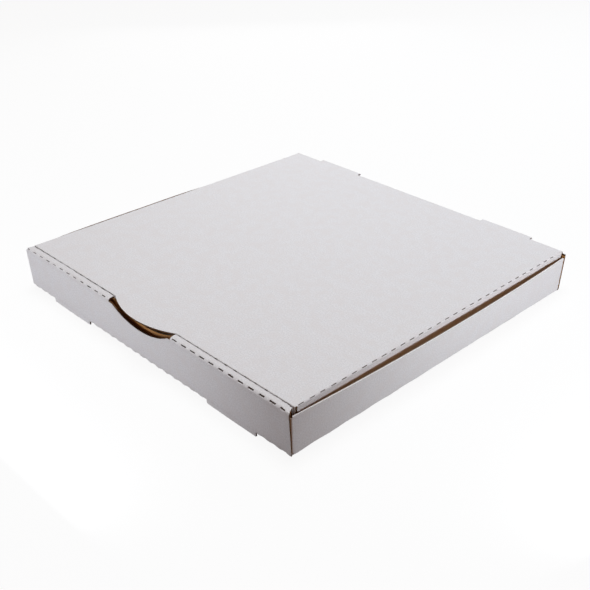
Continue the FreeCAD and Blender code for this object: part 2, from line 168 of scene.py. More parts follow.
@dataclass(frozen=True)
class LinerFinish:
    """Paper liner of corrugated board: mottled pulp, stray fibres and faint flute lines.

    Three layers on the blank's own coordinates: cloudy formation about 12 mm wide, a fine pulp
    speckle of about a millimetre, and long fibres that lie along the machine direction. The
    flutes below show as a faint washboard at their own pitch, in bump and as painted shade in
    colour. The slits along the cut creases, marked by the attribute "slit", show the brown
    middle of the board darkened with painted shade, and "wear" greys the paper where a crease
    has been worked.
    """

    name: str
    paper: str
    speckle: str
    cloud: str
    fleck: str
    dulled: str
    core_and_slit_shade: str
    speckle_share: float
    fleck_share: float
    washboard: float
    roughness: float
    cloud_share: float = 0.5
    flute_pitch: float = 3.3
    clouds_per_metre: float = 85.0
    grains_per_metre: float = 780.0
    fibres_per_metre: Triple = (170.0, 1500.0, 1.0)
    bump_depth: float = 0.00005

    def build(self) -> bpy.types.Material:
        """The material."""
        sheet = NodeSheet(bpy.data.materials.new(self.name))
        place = sheet.flat_place()
        cloud = sheet.noise(place, self.clouds_per_metre, 3.0, 0.7)
        grain = sheet.noise(place, self.grains_per_metre, 3.0, 0.6)
        long_way = sheet.add("Mapping", {"Vector": place, "Scale": self.fibres_per_metre}).outputs[0]
        fibres = sheet.noise(long_way, 1.0, 3.0, 0.65)
        ripple = sheet.wave(sheet.add("SeparateXYZ", {0: place}).outputs[1], self.flute_pitch)
        shade = sheet.value("MULTIPLY", sheet.value("ADD", ripple, 1.0), self.washboard)
        wear, slit = [sheet.add("Attribute", attribute_name=name).outputs["Fac"] for name in ("wear", "slit")]
        greyed = sheet.value("MULTIPLY", wear, sheet.ease(grain, 0.2, 0.7, 0.55))
        # Painted shade: the washboard share darkens the flute lines towards dulled, and the slit share paints
        # core_and_slit_shade, a dark brown for the shade in the cut slits.
        layers = [(sheet.ease(grain, 0.34, 0.66, self.speckle_share), self.speckle),
                  (sheet.ease(cloud, 0.36, 0.68, self.cloud_share), self.cloud),
                  (sheet.ease(fibres, 0.62, 0.76, self.fleck_share), self.fleck),
                  (shade, self.dulled), (greyed, self.dulled), (sheet.ease(slit, 0.25, 0.8), self.core_and_slit_shade)]
        colour = linear(self.paper)
        for share, tint in layers:
            colour = sheet.mix(share, colour, linear(tint))
        height = sheet.value("MULTIPLY_ADD", fibres, 0.5, grain)
        height = sheet.value("MULTIPLY_ADD", ripple, self.washboard * 6, height)
        rough = sheet.value("MULTIPLY_ADD", grain, 0.14, self.roughness - 0.07)
        return sheet.finish_board(colour, rough, 0.3, Strength=0.35, Distance=self.bump_depth, Height=height)


@dataclass(frozen=True)
class RawEdgeFinish:
    """Die-cut edge of E-flute board: two liners with the waved medium between them.

    The map's first number is the distance across the flutes in metres and its second runs
    from 0 at the white face to 1 at the kraft face. The medium is the band
    |v - (0.5 + 0.3 sin(2 pi u / pitch))| < 0.1, so an edge cut across the flutes shows the
    wave and one cut along them a straight line, both over painted shade: the open flute
    tunnels are a flat dark colour, tunnel_shade, for the shade inside them.
    """

    name: str = "raw_fluted_edge"
    medium: str = "75502F"
    kraft: str = "855A33"
    white: str = "D8D2CC"
    tunnel_shade: str = "1E120C"
    flute_pitch: float = 3.3
    tears_per_metre: Triple = (900.0, 2.0, 1.0)
    bump_depth: float = 0.0002

    def build(self) -> bpy.types.Material:
        """The material."""
        sheet = NodeSheet(bpy.data.materials.new(self.name))
        place = sheet.flat_place()
        parts = sheet.add("SeparateXYZ", {0: place}).outputs
        torn = sheet.add("Mapping", {"Vector": place, "Scale": self.tears_per_metre}).outputs[0]
        ragged = sheet.noise(torn, 1.0, 3.0, 0.6)
        across = sheet.value("MULTIPLY_ADD", ragged, 0.16, sheet.value("ADD", parts[1], -0.08))
        middle = sheet.value("MULTIPLY_ADD", sheet.wave(parts[0], self.flute_pitch), 0.3, 0.5)
        apart = sheet.value("ABSOLUTE", sheet.value("SUBTRACT", across, middle))
        web = sheet.value("SUBTRACT", 1.0, sheet.ease(apart, 0.06, 0.12))
        # Painted shade: between the medium's waves the edge is coloured tunnel_shade, standing for the dark
        # inside the open flutes.
        colour = sheet.mix(web, linear(self.tunnel_shade), linear(self.medium))
        colour = sheet.mix(sheet.ease(across, 0.8, 0.86), colour, linear(self.kraft))
        colour = sheet.mix(sheet.ease(across, 0.25, 0.17), colour, linear(self.white))
        return sheet.finish_board(colour, 0.85, 0.2, Strength=0.5, Distance=self.bump_depth, Height=web)


@dataclass(frozen=True)
class FloorFinish:
    """Matt white studio sweep: white to the camera, a plain grey to the light that bounces."""

    name: str = "studio_floor"
    seen: str = "F2F2F3"
    shaded: str = "EEEEEF"
    bounced: str = "6C6A69"
    lift: float = 0.92

    def build(self) -> bpy.types.Material:
        """The material."""
        sheet = NodeSheet(bpy.data.materials.new(self.name))
        shown = sheet.shown()
        cloud = sheet.noise(sheet.add("TexCoord").outputs["Object"], 3.0, 2.0, 0.5)
        seen = sheet.mix(sheet.ease(cloud, 0.3, 0.7, 0.3), linear(self.seen), linear(self.shaded))
        colour = sheet.mix(shown, linear(self.bounced), seen)
        matt = sheet.add("BsdfDiffuse", {"Color": colour}).outputs[0]
        glow = sheet.add("Emission", {"Strength": 1.0}).outputs[0]
        share = sheet.value("MULTIPLY", shown, self.lift)
        return sheet.finish(sheet.add("MixShader", {0: share, 1: matt, 2: glow}).outputs[0])


FINISHES = (
    LinerFinish("white_top_liner", "E7E6E8", "D4D3D5", "DCD8D8", "C9C2BC", "C3BFBD", "3A2A20",
                speckle_share=0.9, fleck_share=0.3, washboard=0.02, roughness=0.62, cloud_share=0.6),
    LinerFinish("brown_kraft_liner", "B08049", "A0703C", "B98C58", "7A5330", "936A3E", "4A3020",
                speckle_share=0.9, fleck_share=0.6, washboard=0.06, roughness=0.74),
    RawEdgeFinish())


@dataclass
class FoldedLine:
    """A line with rounded corners: its points, and the rows that each turn takes."""

    points: np.ndarray
    turns: list[slice]


def fold_line(corners: Corners, radii: Sequence[float], counts: Sequence[int], steps: int = 8) -> FoldedLine:
    """A line with each inner corner rounded to a tangent arc.

    A corner of angle a and radius r is cut back by r / tan(a / 2) on both sides; the arc's
    points are the first point turned about the centre in equal steps.

    Args:
        corners: The corners and both ends.
        radii: One radius for each inner corner.
        counts: For each straight run, the number of its inner points.
        steps: Parts in each arc.

    Returns:
        The points and the turns' rows.
    """
    marks = np.array(corners, float)
    arcs = [round_corner(marks[i:i + 3], radius, steps) for i, radius in enumerate(radii)]
    starts = [marks[0], *[arc[-1] for arc in arcs]]
    stops = [*[arc[0] for arc in arcs], marks[-1]]
    inner = [start + np.linspace(0, 1, count + 2)[1:-1, None] * (stop - start)
             for start, stop, count in zip(starts, stops, counts)]
    ends = [marks[:1], *arcs, marks[-1:]]
    pieces = [piece for pair in zip(ends, inner) for piece in pair] + [ends[-1]]
    edges = np.cumsum([0, *[len(piece) for piece in pieces]])
    turns = [slice(edges[2 * i], edges[2 * i + 1]) for i in range(1, len(arcs) + 1)]
    return FoldedLine(np.concatenate(pieces), turns)


def round_corner(marks: np.ndarray, radius: float, steps: int) -> np.ndarray:
    """The arc that rounds the middle one of three marks."""
    back, ahead = marks[0] - marks[1], marks[2] - marks[1]
    back, ahead = back / np.linalg.norm(back), ahead / np.linalg.norm(ahead)
    half = math.acos(float(np.clip(back @ ahead, -1, 1))) / 2
    start = marks[1] + back * radius / math.tan(half)
    middle = back + ahead
    centre = marks[1] + middle / np.linalg.norm(middle) * radius / math.sin(half)
    spoke = start - centre
    side = np.sign(back[0] * ahead[1] - back[1] * ahead[0])
    angles = np.linspace(0, side * -(math.pi - 2 * half), steps + 1)
    turned = [spoke[0] * np.cos(angles) - spoke[1] * np.sin(angles),
              spoke[0] * np.sin(angles) + spoke[1] * np.cos(angles)]
    return centre + np.stack(turned, axis=1)


def spread(low: float, high: float, spacing: float) -> np.ndarray:
    """Places from low to high, both kept, no further apart than spacing."""
    return np.linspace(low, high, max(2, math.ceil(abs(high - low) / spacing) + 1))


def places(hard: Sequence[Any], spacing: float, clear: float = 0.4) -> np.ndarray:
    """Grid places that hold every hard one, filled in no further apart than spacing.

    Args:
        hard: Places that the grid needs, as numbers and arrays.
        spacing: Distance of the filling ones.
        clear: How far a filling place keeps from a hard one.

    Returns:
        The places in order.
    """
    kept = np.unique(np.round(np.concatenate([np.atleast_1d(h) for h in hard]), 4))
    filling = np.arange(kept[0] + spacing, kept[-1], spacing)
    gap = np.abs(filling[:, None] - kept[None, :]).min(axis=1)
    return np.sort(np.concatenate([kept, filling[gap > clear]]))


def span(line: np.ndarray, low: float, high: float) -> slice:
    """The places on a line from the one nearest to low to the one nearest to high."""
    return slice(int(np.argmin(np.abs(line - low))), int(np.argmin(np.abs(line - high))) + 1)


def middles(line: np.ndarray) -> np.ndarray:
    """The middle of each edge between neighbouring places."""
    return (line[:-1] + line[1:]) / 2


def between(line: np.ndarray, low: float, high: float) -> np.ndarray:
    """For each edge between neighbouring places, whether its middle lies from low to high."""
    return (middles(line) > low) & (middles(line) < high)


def hair_steps(line: np.ndarray) -> np.ndarray:
    """For each edge between neighbouring places, whether it is one of the hair-wide steps."""
    return np.diff(line) < 2.5 * HAIR


def arc_depth(place: np.ndarray, middle: float, half: float, sagitta: float) -> np.ndarray:
    """Depth of a circular arc below its chord: 0 at both ends, sagitta in the middle.

    With radius r = (half^2 + sagitta^2) / (2 sagitta), the depth is
    sqrt(r^2 - (place - middle)^2) - (r - sagitta).
    """
    radius = (half ** 2 + sagitta ** 2) / (2 * sagitta)
    off = np.clip(place - middle, -half, half)
    return np.sqrt(radius ** 2 - off ** 2) - (radius - sagitta)


def ease(share: np.ndarray) -> np.ndarray:
    """The smooth step 3 s^2 - 2 s^3 of a share held between 0 and 1."""
    share = np.clip(share, 0, 1)
    return share * share * (3 - 2 * share)


def ramp(place: np.ndarray, start: float, stop: float) -> np.ndarray:
    """A smooth step from 0 at start to 1 at stop, whichever of them is the higher."""
    return ease((place - start) / (stop - start))


def dashes(place: np.ndarray, pitch: float) -> np.ndarray:
    """A wave between 0 and 1 that is 1 at each whole pitch."""
    return 0.5 + 0.5 * np.cos(2 * np.pi * place / pitch)


def grid_of(*parts: Any) -> np.ndarray:
    """A grid of points, or of places on the flat blank, from coordinates spread over it."""
    return np.stack(np.broadcast_arrays(*parts), axis=2).astype(float)


def sweep(line: np.ndarray, columns: np.ndarray, along_x: bool = True) -> np.ndarray:
    """Carry a line in (y, z) along x, or one in (x, z) along y: a row for each of its points."""
    first, height = line[:, :1], line[:, 1:]
    return grid_of(columns, first, height) if along_x else grid_of(first, columns, height)


def lengths(line: np.ndarray) -> np.ndarray:
    """Distance along a line from its first point to each of its points."""
    steps = np.linalg.norm(np.diff(line, axis=0), axis=1)
    return np.concatenate([[0.0], np.cumsum(steps)])


def blend_to(outer: np.ndarray, inner: np.ndarray, share: np.ndarray) -> np.ndarray:
    """Move the outer grid's points towards the inner grid's by a share of the board."""
    return outer + (inner - outer) * share[..., None]


@dataclass
class SlitRow:
    """A row of short slits along a crease, each a little longer, shorter or weaker than the next."""

    start: float
    stop: float
    pitch: float
    length: float
    seed: int
    ramp: float = 0.24

    def __post_init__(self) -> None:
        """Place the slits: start + k pitch, each a little off in place, length and depth."""
        count = int((self.stop - self.start - self.length) // self.pitch) + 1
        play = np.random.default_rng(self.seed)
        self.begins = self.start + self.pitch * np.arange(count) + play.uniform(-0.3, 0.3, count)
        self.ends = self.begins + self.length + play.uniform(-0.5, 0.3, count)
        self.depths = play.uniform(0.75, 1.0, count)

    def edges(self) -> np.ndarray:
        """The grid places that the slits' ends need."""
        half = self.ramp / 2
        return np.concatenate([self.begins - half, self.begins + half, self.ends - half, self.ends + half])

    def mask(self, place: np.ndarray) -> np.ndarray:
        """How far open the crease is at each place, from 0 to 1."""
        rise = np.clip((place[:, None] - self.begins) / self.ramp + 0.5, 0, 1)
        fall = np.clip((self.ends - place[:, None]) / self.ramp + 0.5, 0, 1)
        return (rise * fall * self.depths).max(axis=1)


@dataclass
class Skin:
    """A piece of board: its two faces as matching grids, and which of its sides are cut.

    A side's mask is True or False for the whole side, or one of them for each of its edges.
    """

    outer: np.ndarray
    inner: np.ndarray
    sheet: np.ndarray
    first_row: Mask = True
    last_row: Mask = True
    first_column: Mask = True
    last_column: Mask = True
    slit: np.ndarray | float = 0.0
    wear: np.ndarray | float = 0.0

    def part(self, rows: slice, columns: slice = slice(None), **masks: Mask) -> "Skin":
        """The skin's cell of those rows and columns, with masks of its own."""
        outer, inner, sheet, slit, wear = [
            grid[rows, columns] for grid in (self.outer, self.inner, self.sheet, self.slit, self.wear)]
        return Skin(outer, inner, sheet, slit=slit, wear=wear, **masks)

    def lowered(self, height: np.ndarray) -> "Skin":
        """Press the rows, the first one lowest, together so that none stands above a height."""
        grids = []
        for grid in (self.outer, self.inner):
            low, top = grid[0], grid[-1]
            reach = np.clip((height - low[:, 2]) / (top[:, 2] - low[:, 2]), 0, 1)
            grids.append(low + (grid - low) * reach[None, :, None])
        self.outer, self.inner = grids
        return self

    def sides(self) -> list[tuple[tuple[Any, Any], tuple[Any, Any], Mask]]:
        """Each side's index, the index of the line next to it, and its mask."""
        whole = slice(None)
        return [((0, whole), (1, whole), self.first_row), ((-1, whole), (-2, whole), self.last_row),
                ((whole, 0), (whole, 1), self.first_column), ((whole, -1), (whole, -2), self.last_column)]


@dataclass
class BoardMesh:
    """Gathers skins into one closed mesh with the board's three materials."""

    points: list[np.ndarray] = field(default_factory=list)
    quads: list[np.ndarray] = field(default_factory=list)
    maps: list[np.ndarray] = field(default_factory=list)
    surfaces: list[np.ndarray] = field(default_factory=list)
    slits: list[np.ndarray] = field(default_factory=list)
    wears: list[np.ndarray] = field(default_factory=list)
    count: int = 0
    weld: float = 0.004 * MM
    sharp_degrees: float = 42.0
    flute_tilt: float = 0.02

    def add(self, skin: Skin) -> None:
        """Add both faces of a skin and the raw edges of its cut sides."""
        shape = skin.outer.shape[:2]
        size = shape[0] * shape[1]
        white = np.arange(size).reshape(shape) + self.count
        kraft = white + size
        out = skin.outer - skin.inner
        self.points += [skin.outer.reshape(-1, 3), skin.inner.reshape(-1, 3)]
        self.slits += [np.broadcast_to(skin.slit, shape).ravel(), np.zeros(size)]
        self.wears += [np.broadcast_to(skin.wear, shape).ravel()] * 2
        self.add_face(white, skin.outer, out, skin.sheet, Surface.WHITE)
        self.add_face(kraft, skin.inner, -out, skin.sheet, Surface.KRAFT)
        for line, neighbour, mask in skin.sides():
            cut = np.broadcast_to(mask, (white[line].size - 1,))
            if cut.any():
                self.add_edge(skin, white[line], kraft[line], line, neighbour, cut)
        self.count += 2 * size

    def add_face(self, index: np.ndarray, points: np.ndarray, out: np.ndarray, sheet: np.ndarray,
                 surface: Surface) -> None:
        """Add one face's quads, turned as a whole to look along out."""
        corners = [index[:-1, :-1], index[1:, :-1], index[1:, 1:], index[:-1, 1:]]
        quads = np.stack([c.ravel() for c in corners], axis=1)
        local = quads - index[0, 0]
        here = points.reshape(-1, 3)
        normal = np.cross(here[local[:, 2]] - here[local[:, 0]], here[local[:, 3]] - here[local[:, 1]])
        if (normal * out.reshape(-1, 3)[local[:, 0]]).sum() < 0:
            quads, local = quads[:, ::-1], local[:, ::-1]
        self.put(quads, (sheet * MM).reshape(-1, 2)[local], surface)

    def add_edge(self, skin: Skin, white: np.ndarray, kraft: np.ndarray, line: Any, neighbour: Any,
                 cut: np.ndarray) -> None:
        """Close one side with a raw edge, mapped by its distance across the flutes."""
        top, low = skin.outer[line], skin.inner[line]
        away = (top - skin.outer[neighbour])[:-1]
        quads = np.stack([white[:-1], white[1:], kraft[1:], kraft[:-1]], axis=1)
        normal = np.cross(low[1:] - top[:-1], low[:-1] - top[1:])
        flute = (skin.sheet[line][:, 1] + self.flute_tilt * skin.sheet[line][:, 0]) * MM
        face, back = np.stack([flute, flute * 0], axis=1), np.stack([flute, flute * 0 + 1], axis=1)
        maps = np.stack([face[:-1], face[1:], back[1:], back[:-1]], axis=1)
        if (normal * away).sum() < 0:
            quads, maps = quads[:, ::-1], maps[:, ::-1]
        self.put(quads[cut], maps[cut], Surface.RAW)

    def put(self, quads: np.ndarray, maps: np.ndarray, surface: Surface) -> None:
        """Keep quads with their places on the map and the surface that they show."""
        self.quads.append(quads)
        self.maps.append(maps)
        self.surfaces.append(np.full(len(quads), surface.value))

    def build(self, name: str, materials: list[bpy.types.Material]) -> bpy.types.Object:
        """Make the object, with doubles merged and folds shaded smooth.

        Args:
            name: The piece's name.
            materials: White liner, kraft liner and raw edge.

        Returns:
            The object, at the origin, in metres.
        """
        mesh = bpy.data.meshes.new(name)
        mesh.from_pydata(np.concatenate(self.points) * MM, [], np.concatenate(self.quads).tolist())
        layer = mesh.uv_layers.new(name="sheet")
        layer.data.foreach_set("uv", np.concatenate(self.maps).astype(np.float32).ravel())
        mesh.polygons.foreach_set("material_index", np.concatenate(self.surfaces).astype(np.int32))
        # slit: how open each slit is, which also sets its painted shade; wear: how grey the paper is.
        for label, values in (("slit", self.slits), ("wear", self.wears)):
            attribute = mesh.attributes.new(label, "FLOAT", "POINT")
            attribute.data.foreach_set("value", np.concatenate(values).astype(np.float32))
        for material in materials:
            mesh.materials.append(material)
        self.merge_doubles(mesh)
        mesh.shade_smooth()
        mesh.set_sharp_from_angle(angle=math.radians(self.sharp_degrees))
        return placed(name, mesh)

    def merge_doubles(self, mesh: bpy.types.Mesh) -> None:
        """Weld the points that neighbouring skins share."""
        work = bmesh.new()
        work.from_mesh(mesh)
        bmesh.ops.remove_doubles(work, verts=work.verts, dist=self.weld)
        work.to_mesh(mesh)
        work.free()


def placed(name: str, data: Any) -> bpy.types.Object:
    """A new object in the scene with the data given."""
    thing = bpy.data.objects.new(name, data)
    bpy.context.scene.collection.objects.link(thing)
    return thing


@dataclass
class Blank:
    """Sizes that the pieces share, in millimetres."""

    board: float = 1.5
    gap: float = 0.1
    fold: float = 1.2
    tight: float = 0.3
    half_width: float = 190.5
    front: float = -189.5
    back: float = 189.5
    top: float = 43.2
    lean: float = 1.4
    crease: float = 42.3
    roll_slack: float = 2.1
    tongue_half: float = 30.8
    tongue_centre: float = 119.0
    hinge_band: float = 2.7
    inset: float = 188.4
    wall_top: float = 37.5
    dash_pitch: float = 12.0
    arc_spacing: float = 2.4

    def front_face(self, height: Any) -> Any:
        """Y of the leaning front wall's outer face at a height."""
        return self.front - self.lean * height / self.crease

    def strip(self) -> float:
        """Width of the rolled-over front: three boards, two gaps and the roll's slack."""
        return 3 * self.board + 2 * self.gap + self.roll_slack

    def tongue_edges(self, play: float = 0.0) -> list[float]:
        """The four X places where the two tongues along a crease begin and end."""
        half = self.tongue_half + play
        return [side * self.tongue_centre + way * half for side in (-1, 1) for way in (-1, 1)]

    def in_tongue(self, columns: np.ndarray, play: float = 0.0) -> np.ndarray:
        """Whether each X place lies on one of the two tongues."""
        return np.abs(np.abs(columns) - self.tongue_centre) < self.tongue_half + play

    def stepped(self, edges: Sequence[float]) -> np.ndarray:
        """Each edge as a place a hair before it and one a hair past it, for a border that jumps."""
        return np.concatenate([np.array(edges) - HAIR, np.array(edges) + HAIR])

    def folded(self, outer: Corners, inner: Corners, radii: Pair, counts: Sequence[int],
               columns: np.ndarray, along_x: bool = True) -> tuple[FoldedLine, list[np.ndarray]]:
        """Fold the board once.

        Args:
            outer: The outer face's corner and both ends.
            inner: The inner face's corner and both ends.
            radii: The outer and the inner face's radius.
            counts: Inner points of the two straight runs.
            columns: The places that the section is carried along.
            along_x: Whether they lie along x or along y.

        Returns:
            The outer line, and the outer and inner grids.
        """
        lines = [fold_line(corners, [radius], counts) for corners, radius in zip((outer, inner), radii)]
        return lines[0], [sweep(line.points, columns, along_x) for line in lines]


@dataclass
class Tray(Blank):
    """The tray: base, back wall, bowed side walls and the rolled-over double front wall."""

    column_spacing: float = 3.0
    row_spacing: float = 9.0
    slot_y: float = -182.3
    rear_y: float = 186.5
    foot: float = 1.6
    foot_slack: float = 0.3
    tongue_drop: float = 3.8
    tab_drop: float = 2.6
    tab_play: float = -0.4
    notch: Pair = (-47.3, 44.0)
    notch_depth: float = 13.7
    inner_notch_depth: float = 11.0
    crease_radius: float = 2.8
    crease_back: float = 0.5
    roll_radius: float = 0.8
    wall_half: float = 188.0
    wall_bow: float = 4.6
    bow_start: float = -188.6
    rear_spread: float = 1.5
    corner_spread: float = 1.6
    flap_top: float = 36.0
    flap_rows: int = 10
    flap_length: float = 108.0
    scallop: float = 1.0
    scallop_start: float = -183.4
    slit_depth: float = 0.62
    # slit_depth_by_x and slit_width_by_x also set the slits' painted shade: weaker at the left, darker at the
    # right.
    slit_depth_by_x: Table = ((-190, 0.7), (60, 1.0))
    slit_width_by_x: Table = ((60, 0.19), (185, 0.27))
    left_flare: float = 0.5
    left_flare_x: Pair = (-120, -195)
    right_flare: float = 0.9
    right_flare_x: Pair = (178, 190)
    corner_pull: float = 0.55
    corner_pull_x: Pair = (180, 190)
    left_close: float = 0.33
    left_close_x: Pair = (-80, -150)
    strip_half: float = 186.6
    wall_sag: float = 0.7
    edge_rows: tuple[float, ...] = (0.5, 0.15, 0.0)
    edge_crush: Pair = (0.2, 0.62)
    rim_greying: float = 0.8
    lean_ends: float = -150.0
    left_rise: Table = (
        (-186.0, 1.0), (-152.0, 4.1), (-110.0, 3.75), (-45.0, 2.9), (0.0, 2.8), (28.0, 2.3), (90.0, 0.0))
    hinge_play: float = 0.5
    hinge_notch: float = 4.96
    post_drop: float = 2.4
    band_z: float = 30.0

    def __post_init__(self) -> None:
        """Lay out the grid places along x and y."""
        self.slits = [SlitRow(-190.9, -49.6, pitch=12.02, length=5.7, seed=3),
                      SlitRow(46.2, 189.4, pitch=12.16, length=6.2, seed=5)]
        self.base_half = self.half_width - self.fold
        self.inner_half = self.half_width - self.board - self.gap
        ends = np.array([self.half_width, self.base_half, self.inner_half])
        hard = [-ends, ends, self.tongue_edges(), self.tongue_edges(self.tab_play), self.notch,
                spread(*self.notch, self.arc_spacing), *[row.edges() for row in self.slits]]
        self.columns = places(hard, self.column_spacing)
        self.rows = places([self.slot_y, self.rear_y], self.row_spacing)

    def front_lines(self) -> list[FoldedLine]:
        """The rolled-over front's section, outer and inner line, with matching points."""
        strip = self.strip()
        rise = (self.top - self.crease) / strip
        thick = self.board * math.hypot(1, rise)
        within = strip - self.board
        under = [self.crease + rise * reach - thick for reach in (self.board, within)]
        sections = ([(0, 0), (-self.crease_back, self.crease), (strip, self.top), (strip, self.foot)],
                    [(self.board, self.board), (self.board, under[0]), (within, under[1]),
                     (within, self.foot)])
        radii = ([self.fold, self.crease_radius, self.roll_radius],
                 [self.tight, self.crease_radius - self.board, self.tight])
        return [fold_line([(self.slot_y, section[0][1]), *[(self.front_face(z) + y, z) for y, z in section]],
                          radius, [3, 11, 5, 11], 16) for section, radius in zip(sections, radii)]

    def notch_height(self, columns: np.ndarray, depth: float) -> np.ndarray:
        """Height of a front panel's top edge: far above the crease outside the thumb notch."""
        middle = sum(self.notch) / 2
        half = (self.notch[1] - self.notch[0]) / 2
        cut = self.crease - arc_depth(columns, middle, half, depth)
        return np.where(np.abs(columns - middle) <= half + 0.001, cut, 1000.0)

    def add_front(self, board: BoardMesh) -> None:
        """Add the front wall, the strip on top of it and the inner front panel."""
        line, inner_line = self.front_lines()
        x = self.columns
        outer, inner = sweep(line.points, x), sweep(inner_line.points, x)
        sheet = grid_of(x, self.slot_y - lengths(line.points)[:, None])
        outer, slit, wear = self.work_creases(outer, inner, line)
        front = Skin(outer, inner, sheet, slit=slit, wear=wear)
        bottom, crease, roll = line.turns
        wall = front.part(slice(bottom.stop - 1, crease.start + 1), first_row=False,
                          last_row=between(x, *self.notch))
        board.add(wall.lowered(self.notch_height(x, self.notch_depth)))
        for low, high in ((-self.half_width, self.notch[0]), (self.notch[1], self.half_width)):
            part = span(x, low, high)
            ends = ~between(x[part], -self.inner_half, self.inner_half)
            board.add(front.part(slice(crease.start, roll.stop), part, first_row=False, last_row=ends))
        part = span(x, -self.inner_half, self.inner_half)
        panel = front.part(slice(None, roll.stop - 2, -1), part, last_row=between(x[part], *self.notch),
                           first_row=~self.in_tongue(middles(x[part]), self.tab_play))
        panel.slit, panel.wear = 0.0, 0.0
        board.add(panel.lowered(self.notch_height(x[part], self.inner_notch_depth)))
        self.add_front_bottom(board, front, bottom.stop)
        self.add_lock_tabs(board, front)

    def work_creases(self, outer: np.ndarray, inner: np.ndarray,
                     line: FoldedLine) -> tuple[np.ndarray, np.ndarray, np.ndarray]:
        """Cut the slits into the top crease, scallop the bottom one and bend the front's ends.

        A slit moves the crease's points towards the inner face by up to slit_depth of the
            board, and its "slit" value also paints the slit dark with painted shade; the slits are
            shallower towards the left and wider towards the right, so their painted shade is lighter
            at the left and darker at the right, as the light falls across the front. The bottom
            crease gives way between its own cuts by scallop. The wall flares forwards at both ends,
            the strip narrows to strip_half, and left_close moves its left part to the lid.

        Returns:
            The outer grid, and how open and how worn the paper is at each point.
        """
        bottom, crease, roll = line.turns
        x, row = self.columns, np.arange(len(outer))
        slit, wear = np.zeros(outer.shape[:2]), np.zeros(outer.shape[:2])
        for turn, dulled in ((bottom, 0.6), (crease, 0.5), (roll, 0.6)):
            wear[turn] = dulled
        open_x = np.maximum(self.slits[0].mask(x), self.slits[1].mask(x))
        share = np.linspace(0, 1, crease.stop - crease.start)
        depth, wide = [np.interp(x, *zip(*table)) for table in (self.slit_depth_by_x, self.slit_width_by_x)]
        # Painted shade: the slit value both cuts the crease and paints its dark slit colour.
        slit[crease] = ease((wide - np.abs(share - 0.56)[:, None]) / 0.1) * (open_x * depth)
        share = np.linspace(-1, 1, roll.stop - roll.start)
        slit[roll] = ease((0.9 - np.abs(share - 0.3)) / 0.5)[:, None] * open_x[::-1] * 0.45
        outer = blend_to(outer, inner, slit * self.slit_depth)
        wave = dashes(x - self.scallop_start, self.dash_pitch)
        round_share = ease(1 - np.abs(row - (bottom.start + 8)) / 14.0)[:, None]
        wobble = 0.75 + 0.25 * np.sin(x / 37.0 + 1.3)
        outer[..., 2] -= round_share * (wave * wobble * self.scallop)
        outer[..., 1] += round_share * ((1 - wave) * wobble * self.scallop * 0.3)
        high = ease(outer[..., 2] / self.crease)
        flare = self.left_flare * ramp(x, *self.left_flare_x) * high
        flare = flare + self.right_flare * ramp(x, *self.right_flare_x) * high
        for grid in (outer, inner):
            grid[..., 1] -= flare
        corner = np.array([self.front_face(self.top) - self.crease_back, self.top])
        pull = np.zeros(outer.shape[:2])
        pull[crease] = np.sin(np.linspace(0, np.pi, crease.stop - crease.start))[:, None] * (
            ramp(x, *self.corner_pull_x) * self.corner_pull)
        outer[..., 1:] += (corner - outer[..., 1:]) * pull[..., None]
        keep = np.interp(row, [crease.stop - 6, roll.start + 2], [1.0, 0.2])[:, None]
        wide = np.maximum(np.abs(x) - self.strip_half, 0)
        closing = np.interp(row, [crease.stop, roll.start], [0.0, 1.0])[:, None]
        for grid in (outer, inner):
            grid[..., 0] -= np.sign(x) * wide * (1 - keep)
            grid[..., 1] += self.left_close * ramp(x, *self.left_close_x) * closing
        pinched = (outer[..., 1] > self.front_face(0) + self.foot) & (row < bottom.stop)[:, None]
        for grid in (outer, inner):
            clipped = np.clip(grid[..., 0], -self.base_half, self.base_half)
            grid[..., 0] = np.where(pinched, clipped, grid[..., 0])
        return outer, slit, wear

    def add_front_bottom(self, board: BoardMesh, front: Skin, stop: int) -> None:
        """Add the fold under the front wall, and the two tongues that hang in line with it."""
        edges = [-self.half_width, *self.tongue_edges(), self.half_width]
        for number, (low, high) in enumerate(zip(edges[:-1], edges[1:])):
            part = span(self.columns, low, high)
            x = self.columns[part]
            if number % 2:
                self.add_foot_tongue(board, x, front.part(slice(stop - 1, stop), part))
                continue
            first = ~between(x, -self.base_half, self.base_half)
            board.add(front.part(slice(0, stop), part, first_row=first, last_row=False))

    def add_foot_tongue(self, board: BoardMesh, x: np.ndarray, root: Skin) -> None:
        """A tongue from the front wall's lowest row, the root, down below the base.

        Its height falls from the row to -tongue_drop; the end towards -x is eased off.
        """
        reach = ease((x - x[0]) / 2.4 + 0.4) * (0.86 + 0.14 * ease((x - x[0]) / 30))
        fall = np.linspace(0, 1, 6)[:, None]
        grids = []
        for top, inwards in ((root.outer[0], 0.0), (root.inner[0], self.board)):
            z = top[:, 2] + (-self.tongue_drop * reach - top[:, 2]) * fall
            grids.append(grid_of(x, np.where(fall == 0, top[:, 1], self.front_face(z) + inwards), z))
        along = root.sheet[0, :, 1] + (grids[0][..., 2] - grids[0][:1, :, 2])
        board.add(Skin(*grids, grid_of(x, along), first_row=False))

    def add_lock_tabs(self, board: BoardMesh, front: Skin) -> None:
        """The two tabs of the inner panel that go down through the base's slots."""
        edges = self.tongue_edges(self.tab_play)
        for low, high in zip(edges[::2], edges[1::2]):
            part = span(self.columns, low, high)
            x = self.columns[part]
            drop = self.tab_drop * (0.7 + 0.3 * ease(np.minimum(x - x[0], x[-1] - x) / 3.0))
            fall = np.linspace(0, 1, 5)[:, None]
            away = np.stack([0 * x, self.front_face(-drop) - self.front_face(self.foot), -drop - self.foot],
                            axis=1)
            grids = [grid[-1, part] + fall[..., None] * away for grid in (front.outer, front.inner)]
            along = front.sheet[-1, part, 1] - fall * (self.foot + self.tab_drop)
            board.add(Skin(*grids, grid_of(x, along), first_row=False))

